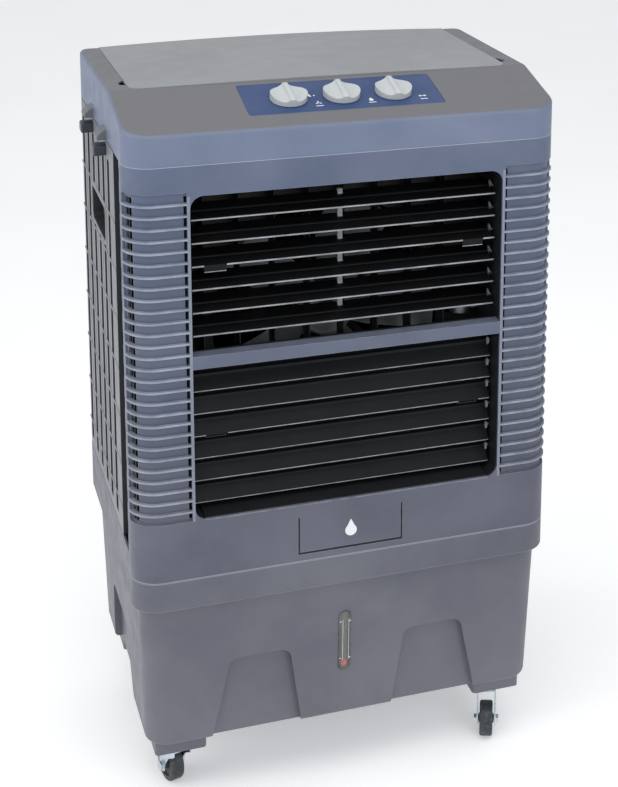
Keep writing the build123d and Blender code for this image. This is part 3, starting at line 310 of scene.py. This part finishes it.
def fin_lines(m, c):
    """Casing paint: painted highlights on the fin rims, the window lip and the seams; painted shade in the plate
    groove and in the outlet duct.
    """
    p = m.sep(m.coord.outputs["Object"])
    ax = m.math("ABSOLUTE", p[0])
    # painted highlight: pale lines along the fin rims
    zone = m.math("MULTIPLY", m.math("GREATER_THAN", ax, 0.2243), m.math("LESS_THAN", p[1], F + YS + 0.036))
    zone = m.math("MULTIPLY", zone, gate(m, p[2], 0.4535, 0.9215))
    ph = m.math("DIVIDE", m.math("SUBTRACT", p[2], 0.4668 - 0.01625 * 20.5), 0.01625)
    off = m.math("MULTIPLY", m.math("ABSOLUTE", m.math("SUBTRACT", m.math("FRACT", ph), 0.5)), 0.01625)
    rim = m.math("MULTIPLY", m.math("LESS_THAN", off, 0.00125), zone)
    brk = m.maprange(m.noise(30, 4), 0.35, 0.65, 0.30, 0.62)
    c = m.mix(m.math("MULTIPLY", rim, brk), c, (0.42, 0.46, 0.54))
    # painted highlight: pale line along the window lip
    lip = m.math("MULTIPLY", gate(m, ax, 0.2206, 0.2244), gate(m, p[2], 0.452, 0.916))
    lip = m.math("MULTIPLY", lip, m.math("LESS_THAN", p[1], F + YS + 0.0004))
    c = m.mix(m.math("MULTIPLY", lip, 0.30), c, (0.42, 0.46, 0.54))
    # painted highlight: pale lines at the casing's bottom and top seams
    seam = m.math("ADD", m.math("LESS_THAN", p[2], 0.3674), m.math("GREATER_THAN", p[2], 0.9577), clamp=True)
    c = m.mix(m.math("MULTIPLY", seam, 0.55), c, (0.50, 0.53, 0.60))
    # painted shade: the groove round the name plate is darkened
    gx = m.math("MULTIPLY", gate(m, ax, 0.0739, 0.0766), gate(m, p[2], 0.3769, 0.4341))
    gz = m.math("MULTIPLY", m.math("LESS_THAN", ax, 0.0766), gate(m, p[2], 0.3769, 0.3803))
    groove = m.math("MULTIPLY", m.math("ADD", gx, gz, clamp=True), gate(m, p[1], F + YS + 0.0002, F + YS + 0.003))
    c = m.mix(m.math("MULTIPLY", groove, 0.85), c, (0.016, 0.017, 0.022))
    return outlet_painted_shade(m, c)


def tank_lines(m, c):
    """Painted highlights: a pale line along the seam on top of the rim and a faint one under it."""
    p = m.sep(m.coord.outputs["Object"])
    c = m.mix(m.math("MULTIPLY", m.math("GREATER_THAN", p[2], 0.3648), 0.35), c, (0.45, 0.46, 0.52))
    return m.mix(m.math("MULTIPLY", gate(m, p[2], 0.3216, 0.3236), 0.22), c, (0.45, 0.46, 0.52))


def side_slots(m, c):
    """Side grilles: everything behind the outer skin is in shadow-grey, and the hand pocket is dark."""
    p = m.sep(m.coord.outputs["Object"])
    ax = m.math("ABSOLUTE", p[0])
    deep = m.math("MULTIPLY", m.math("LESS_THAN", ax, 0.30470), m.math("LESS_THAN", p[1], B + YS - 0.0170))
    return m.mix(m.math("MULTIPLY", deep, 0.88), c, (0.012, 0.013, 0.015))


def rear_slots(m, c):
    p = m.sep(m.coord.outputs["Object"])
    # painted shade: everything behind the rear grille's outer skin is darkened to near black
    deep = m.math("LESS_THAN", p[1], B + YS - 0.0004)
    return m.mix(m.math("MULTIPLY", deep, 0.80), c, (0.012, 0.013, 0.015))


M = {}
M["tank_plastic"] = plastic("tank_plastic", (0.112, 0.111, 0.139), 0.44, top=(0.092, 0.095, 0.124), var=0.06, edge_wear_and_highlight=0.30, z0=0.1, z1=0.36, spec=0.35, paint=tank_lines)
M["housing_plastic"] = plastic("housing_plastic", (0.080, 0.084, 0.118), 0.42, top=(0.082, 0.106, 0.174), var=0.06, edge_wear_and_highlight=0.8, z0=0.40, z1=0.90, spec=0.35, paint=fin_lines)
M["cover_plastic"] = plastic("cover_plastic", (0.132, 0.163, 0.250), 0.42, var=0.05, edge_wear_and_highlight=0.25, dust=0.03, spec=0.30, paint=cover_paint)
M["lid_plastic"] = plastic("lid_plastic", (0.240, 0.245, 0.256), 0.50, var=0.05, edge_wear_and_highlight=0.25, dust=0.06, spec=0.30)
M["panel_blue"] = plastic("panel_blue", (0.018, 0.047, 0.146), 0.34, var=0.05, edge_wear_and_highlight=0.15, dust=0.01, grain=0.05, spec=0.22)
M["knob_white"] = plastic("knob_white", (0.47, 0.495, 0.50), 0.34, var=0.05, edge_wear_and_highlight=0.10, dust=0.02, grain=0.05, spec=0.35)
M["black_plastic"] = plastic("black_plastic", (0.0062, 0.0066, 0.0075), 0.40, var=0.012, edge_wear_and_highlight=0.10, dust=0.004, grain=0.08, edge=0.0007, spec=0.18)
M["louver_upper"] = plastic("louver_upper", (0.0045, 0.0048, 0.0055), 0.40, var=0.006, edge_wear_and_highlight=0.0, dust=0.003, grain=0.08, spec=0.14, paint=blade_paint(F + YS + 0.042, 0.882, 0.0328, math.radians(12.0)))
M["louver_lower"] = plastic("louver_lower", (0.0050, 0.0053, 0.0060), 0.40, var=0.006, edge_wear_and_highlight=0.0, dust=0.003, grain=0.08, spec=0.14, paint=blade_paint(F + YS + 0.042, 0.648, 0.03288, math.radians(52.0)))
M["catch_slate"] = plastic("catch_slate", (0.030, 0.036, 0.052), 0.38, var=0.03, edge_wear_and_highlight=0.3, dust=0.01, spec=0.4)
M["link_grey"] = plastic("link_grey", (0.42, 0.44, 0.46), 0.30, var=0.12, edge_wear_and_highlight=0.2, dust=0.0, grain=0.05)
for nm, fn in (("grille_plastic", side_slots), ("grille_rear", rear_slots)):
    M[nm] = plastic(nm, (0.165, 0.172, 0.190), 0.45, var=0.07, edge_wear_and_highlight=0.45, dust=0.05, edge=0.0009, spec=0.35, paint=fn)
M["float_red"] = plastic("float_red", (0.95, 0.020, 0.016), 0.25, var=0.06, edge_wear_and_highlight=0.1, grain=0.03)
M["fan_plastic"] = plastic("fan_plastic", (0.16, 0.17, 0.18), 0.35, var=0.08, edge_wear_and_highlight=0.2)
M["cord_rubber"] = rubber("cord_rubber", (0.012, 0.012, 0.013))
M["wheel_rubber"] = rubber("wheel_rubber", (0.016, 0.020, 0.023))
M["zinc_steel"] = metal("zinc_steel", (0.60, 0.68, 0.74), 0.26, tint=(0.42, 0.60, 0.70))
M["motor_steel"] = metal("motor_steel", (0.30, 0.31, 0.33), 0.42, brushed=False)
M["brass_fitting"] = metal("brass_fitting", (0.70, 0.50, 0.21), 0.30, brushed=False)
M["clear_plastic"] = clear("clear_plastic", (0.30, 0.31, 0.29))
M["pad_fibre"] = fibre("pad_fibre")
M["print_white"] = plastic("print_white", (0.74, 0.76, 0.78), 0.35, var=0.04, edge_wear_and_highlight=0.0, dust=0.0, grain=0.03)

slot_of = {s["node"]: s["material_slot"] for s in frame["record"]["subparts"]}


for n, o in nodes.items():
    s = slot_of.get(n, "black_plastic")
    look = s
    for bank in ("upper", "lower"):
        if n.startswith(bank + "_louver_") and n[-1].isdigit():
            look = "louver_" + bank
            o.pass_index = int(n[-1]) - 1
    if n.endswith("louver_link"):
        look = "link_grey"
    if n == "rear_grille":
        look = "grille_rear"
    if n.endswith("_latch"):
        look = "catch_slate"
    o.data.materials.clear()
    o.data.materials.append(M[look])


# ------------------------------------------------------------------ mesh helpers
def mesh_object(name, verts, faces, mat, body, smooth=False):
    me = bpy.data.meshes.new(name)
    me.from_pydata([tuple(v) for v in verts], [], faces)
    me.validate()
    me.materials.append(M[mat])
    if smooth:
        me.shade_smooth()
    ob = bpy.data.objects.new(name, me)
    scene.collection.objects.link(ob)
    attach(ob, body)
    return ob


def inlay(shapes, frame_m, z0, z1):
    """Closed flat shapes (lists of x, y in mm) raised from z0 to z1 on a placed plane."""
    verts, faces = [], []
    for pts in shapes:
        n = len(pts)
        area = sum(pts[i][0] * pts[(i + 1) % n][1] - pts[(i + 1) % n][0] * pts[i][1] for i in range(n))
        if area < 0:
            pts = pts[::-1]
        k = len(verts)
        for z in (z0, z1):
            for x, y in pts:
                verts.append(frame_m @ Vector((x / 1000, y / 1000, z / 1000)))
        faces.append(tuple(range(k + n, k + 2 * n)))
        faces.append(tuple(reversed(range(k, k + n))))
        for i in range(n):
            j = (i + 1) % n
            faces.append((k + i, k + j, k + n + j, k + n + i))
    return verts, faces


def disc(cx, cy, r, n=20):
    return [(cx + r * math.cos(2 * math.pi * i / n), cy + r * math.sin(2 * math.pi * i / n)) for i in range(n)]


def arc_band(cx, cy, r, a0, a1, t0, t1, n=26):
    out, inn = [], []
    for i in range(n + 1):
        u = i / n
        a = math.radians(a0 + (a1 - a0) * u)
        t = t0 + (t1 - t0) * u
        out.append((cx + (r + t) * math.cos(a), cy + (r + t) * math.sin(a)))
        inn.append((cx + r * math.cos(a), cy + r * math.sin(a)))
    return out + inn[::-1]


def bar(cx, cy, w, h, ang=0.0, r=None):
    r = min(w, h) * 0.45 if r is None else r
    pts = []
    for sx, sy, a0 in ((1, 1, 0), (-1, 1, 90), (-1, -1, 180), (1, -1, 270)):
        for i in range(5):
            a = math.radians(a0 + 22.5 * i)
            pts.append((sx * (w / 2 - r) + r * math.cos(a), sy * (h / 2 - r) + r * math.sin(a)))
    c, s = math.cos(math.radians(ang)), math.sin(math.radians(ang))
    return [(cx + x * c - y * s, cy + x * s + y * c) for x, y in pts]


def drop(cx, cy, h, n=28):
    """A plain water drop outline."""
    r = h * 0.33
    pts = []
    for i in range(n + 1):
        a = math.radians(-230 + 280 * i / n)
        pts.append((cx + r * math.cos(a), cy - h * 0.17 + r * math.sin(a)))
    pts.append((cx, cy + h * 0.5))
    return pts


# ------------------------------------------------------------------ control panel print
SL = math.atan(31.0 / 129.0)
zc = 1.003 + 0.075 * math.tan(SL)
panel_m = Matrix(((1, 0, 0, 0.008), (0, math.cos(SL), -math.sin(SL), F + 0.081 + YS), (0, math.sin(SL), math.cos(SL), zc), (0, 0, 0, 1)))
marks = []
K = [(-76.0, -3.6), (-1.0, -3.6), (74.0, -3.6)]
kx, ky = K[0]
marks.append(arc_band(kx, ky, 29.5, 88, 4, 0.5, 3.4))
marks.append(disc(kx + 36.5 * math.cos(math.radians(38)), ky + 36.5 * math.sin(math.radians(38)), 1.5))
marks.append(disc(kx + 37.5 * math.cos(math.radians(8)), ky + 37.5 * math.sin(math.radians(8)), 1.5))
marks.append(disc(kx - 14, ky + 31.5, 1.2))
for kx, ky in K[1:]:
    for a in (112, 58):
        marks.append(bar(kx + 32.0 * math.cos(math.radians(a)), ky + 32.0 * math.sin(math.radians(a)), 6.0, 1.7, a))
    marks.append(disc(kx + 34.5 * math.cos(math.radians(35)), ky + 34.5 * math.sin(math.radians(35)), 1.0))
# fan symbol, drop symbol, sweep symbol, each above a plain rule
fx, fyy = K[0][0] + 38, K[0][1] - 17
for k in range(3):
    a = math.radians(90 + 120 * k)
    pet = [(0.8, 0.0), (2.6, 1.3), (4.6, 1.2), (5.2, -0.3), (3.6, -1.3), (1.6, -1.0)]
    marks.append([(fx + x * math.cos(a) - y * math.sin(a), fyy + x * math.sin(a) + y * math.cos(a)) for x, y in pet])
marks.append(disc(fx, fyy, 1.1, 14))
marks.append(bar(fx, fyy - 9, 11, 2.0))
marks.append(drop(K[1][0] + 38, K[1][1] - 17, 10))
marks.append(bar(K[1][0] + 38, K[1][1] - 26, 11, 2.0))
sx_, sy_ = K[2][0] + 38, K[2][1] - 17
marks.append([(sx_ - 6, sy_), (sx_ - 2.6, sy_ + 3), (sx_ - 2.6, sy_ + 0.9), (sx_ + 2.6, sy_ + 0.9), (sx_ + 2.6, sy_ + 3), (sx_ + 6, sy_), (sx_ + 2.6, sy_ - 3), (sx_ + 2.6, sy_ - 0.9), (sx_ - 2.6, sy_ - 0.9), (sx_ - 2.6, sy_ - 3)])
marks.append(bar(sx_, sy_ - 9, 11, 2.0))
v, f = inlay(marks, panel_m, -0.42, -0.30)
mesh_object("panel_print", v, f, "print_white", "root")

# ------------------------------------------------------------------ plain drop emblem on the name plate
plate_m = Matrix(((1, 0, 0, 0.0), (0, 0, -1, F + YS), (0, 1, 0, 0.407), (0, 0, 0, 1)))
em = [drop(0.0, 1.0, 26.0)]
v, f = inlay(em, plate_m, -0.2, 0.9)
emblem = mesh_object("plate_emblem", v, f, "print_white", "root")
bev = emblem.modifiers.new("round", "BEVEL")
bev.width = 0.0004
bev.segments = 2
bev.limit_method = "ANGLE"


# ------------------------------------------------------------------ cellulose pads: stacked, alternately raked flutes
def media(name, lo, hi, depth_axis, sheet_gap=0.0072, amp=0.0030):
    """lo, hi: block corners. Sheets stand upright and are stacked along the wide axis."""
    verts, faces = [], []
    wide = 1 - depth_axis
    n = int((hi[wide] - lo[wide]) / sheet_gap)
    nz, nd = 96, 5
    th = 0.0007
    for s in range(n):
        base = lo[wide] + amp + 0.0006 + (hi[wide] - lo[wide] - 2 * amp - 0.0012) * s / (n - 1)
        rake = 1 if s % 2 else -1
        for side in (-1, 1):
            k = len(verts)
            for i in range(nz + 1):
                z = lo[2] + (hi[2] - lo[2]) * i / nz
                for j in range(nd + 1):
                    d = lo[depth_axis] + (hi[depth_axis] - lo[depth_axis]) * j / nd
                    ph = 2 * math.pi * (z + rake * (d - lo[depth_axis]) * 0.9) / 0.0165
                    p = [0, 0, z]
                    p[depth_axis] = d
                    p[wide] = base + amp * math.sin(ph) + side * th / 2
                    verts.append(p)
            w = nd + 1
            for i in range(nz):
                for j in range(nd):
                    q = (k + i * w + j, k + i * w + j + 1, k + (i + 1) * w + j + 1, k + (i + 1) * w + j)
                    faces.append(q if side > 0 else q[::-1])
            if side > 0:
                a0 = k - (nz + 1) * w
                b0 = k
                for i in range(nz):
                    faces.append((a0 + i * w, b0 + i * w, b0 + (i + 1) * w, a0 + (i + 1) * w))
                    faces.append((a0 + i * w + nd, a0 + (i + 1) * w + nd, b0 + (i + 1) * w + nd, b0 + i * w + nd))
                for j in range(nd):
                    faces.append((a0 + j, a0 + j + 1, b0 + j + 1, b0 + j))
                    t = nz * w
                    faces.append((a0 + t + j, b0 + t + j, b0 + t + j + 1, a0 + t + j + 1))
    return mesh_object(name, verts, faces, "pad_fibre", "root", smooth=True)


pz0, pz1 = 0.4005, 0.9125
pl_ = media("pad_media_left", (-0.2855, F + 0.0985 + YS, pz0), (-0.2465, F + 0.3915 + YS, pz1), 0)
pr_ = media("pad_media_right", (0.2465, F + 0.0985 + YS, pz0), (0.2855, F + 0.3915 + YS, pz1), 0)
pb_ = media("pad_media_rear", (-0.2395, F + 0.3725 + YS, pz0), (0.2395, F + 0.4115 + YS, pz1), 1)
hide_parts("cooling_pads")
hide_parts("cooling_pads")
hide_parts("cooling_pads")

# ------------------------------------------------------------------ sight gauge graduations
T = math.atan(11.0 / 221.0)
gm = Matrix.Translation((0, F + 0.010 + YS, 0.322)) @ Matrix.Rotation(T, 4, "X") @ Matrix.Translation((0, -(F + 0.010 + YS), -0.322))
gauge_m = gm @ Matrix(((1, 0, 0, -0.005), (0, 0, -1, F + 0.0075 + YS), (0, 1, 0, 0.222), (0, 0, 0, 1)))
ticks = [bar(sx * 7.0, z, 3.0, 1.5, 0) for sx in (-1, 1) for z in (-27.0, 33.0)]
ticks += [bar(x, 3.0, 0.7, 66.0, 0) for x in (-3.4, 5.4)]
v, f = inlay(ticks, gauge_m, 0.02, 0.16)
mesh_object("gauge_ticks", v, f, "print_white", "root")

# ------------------------------------------------------------------ floor, light, camera
fm = Net("floor_pale")
fm.put(fm.bsdf.inputs["Base Color"], fm.mix(fm.maprange(fm.noise(2.0, 4), 0.3, 0.7, 0, 1), (0.84, 0.84, 0.845), (0.87, 0.87, 0.872)))
fm.bsdf.inputs["Roughness"].default_value = 0.85
fm.bsdf.inputs["Specular IOR Level"].default_value = 0.15
fm.bsdf.inputs["Emission Color"].default_value = (1.0, 1.0, 1.0, 1.0)
fm.bsdf.inputs["Emission Strength"].default_value = 0.30
bm = bmesh.new()
bmesh.ops.create_grid(bm, x_segments=8, y_segments=8, size=9.0)
me = bpy.data.meshes.new("floor")
bm.to_mesh(me)
bm.free()
me.materials.append(fm.mat)
floor = bpy.data.objects.new("floor", me)
scene.collection.objects.link(floor)
floor.location = (0, 0, -0.0002)

world = bpy.data.worlds.new("studio")
scene.world = world
world.use_nodes = True
wn = world.node_tree
wn.nodes.clear()
wout = wn.nodes.new("ShaderNodeOutputWorld")
bg_cam = wn.nodes.new("ShaderNodeBackground")
bg_cam.inputs["Color"].default_value = (1, 1, 1, 1)
bg_cam.inputs["Strength"].default_value = 1.0
bg_lit = wn.nodes.new("ShaderNodeBackground")
bg_lit.inputs["Color"].default_value = (0.94, 0.97, 1.0, 1)
bg_lit.inputs["Strength"].default_value = 0.62
lp = wn.nodes.new("ShaderNodeLightPath")
mx = wn.nodes.new("ShaderNodeMixShader")
wn.links.new(lp.outputs["Is Camera Ray"], mx.inputs[0])
wn.links.new(bg_lit.outputs[0], mx.inputs[1])
wn.links.new(bg_cam.outputs[0], mx.inputs[2])
wn.links.new(mx.outputs[0], wout.inputs["Surface"])


def area(name, loc, target, size, power, col=(1, 1, 1)):
    ld = bpy.data.lights.new(name, "AREA")
    ld.shape = "RECTANGLE"
    ld.size, ld.size_y = size
    ld.energy = power
    ld.color = col
    ob = bpy.data.objects.new(name, ld)
    scene.collection.objects.link(ob)
    ob.location = loc
    ob.rotation_mode = "QUATERNION"
    ob.rotation_quaternion = (Vector(target) - Vector(loc)).to_track_quat("-Z", "Y")
    return ob


area("key_left", (-3.0, -0.3, 1.9), (0, 0, 0.6), (2.2, 2.2), 30)
area("top_soft", (-0.2, -0.8, 3.1), (0, 0, 0.9), (2.4, 2.4), 34)
area("front_fill", (0.9, -3.6, 1.9), (0, 0, 0.6), (2.6, 2.0), 34, (0.93, 0.96, 1.0))

cam_data = bpy.data.cameras.new("camera")
cam = bpy.data.objects.new("camera", cam_data)
scene.collection.objects.link(cam)
scene.camera = cam
CX, CY, CZ = -0.62164, -2.17382 + F + YS, 1.52153 + 0.072
r2, u2, d2 = Vector((0.9366, -0.3500, 0.01928)), Vector((0.0560, 0.2036, 0.9775)), Vector((0.3461, 0.9143, -0.2103))
r2.normalize()
d2 = (d2 - r2 * d2.dot(r2)).normalized()
u2 = r2.cross(d2).normalized()
cam.matrix_world = Matrix(((r2.x, u2.x, -d2.x, CX), (r2.y, u2.y, -d2.y, CY), (r2.z, u2.z, -d2.z, CZ), (0, 0, 0, 1)))
cam_data.sensor_fit = "AUTO"
cam_data.sensor_width = 36.0
cam_data.lens = 1726.15 * 36.0 / 787.0
cam_data.clip_start, cam_data.clip_end = 0.05, 50.0
# the lens shift belongs to this one viewpoint only: from anywhere else the lens is centred
for prop, val in (("shift_x", -(492.75 - 309.0) / 787.0), ("shift_y", (47.04 - 393.5) / 787.0)):
    dr = cam_data.driver_add(prop).driver
    dr.type = "SCRIPTED"
    va = dr.variables.new()
    va.name = "px"
    va.type = "SINGLE_PROP"
    va.targets[0].id = cam
    va.targets[0].data_path = "location[0]"
    vb = dr.variables.new()
    vb.name = "py"
    vb.type = "SINGLE_PROP"
    vb.targets[0].id = cam
    vb.targets[0].data_path = "location[1]"
    dr.expression = "%.6f if abs(px - (%.6f)) + abs(py - (%.6f)) < 0.002 else 0.0" % (val, CX, CY)

scene.view_settings.view_transform = "Standard"
scene.view_settings.look = "None"
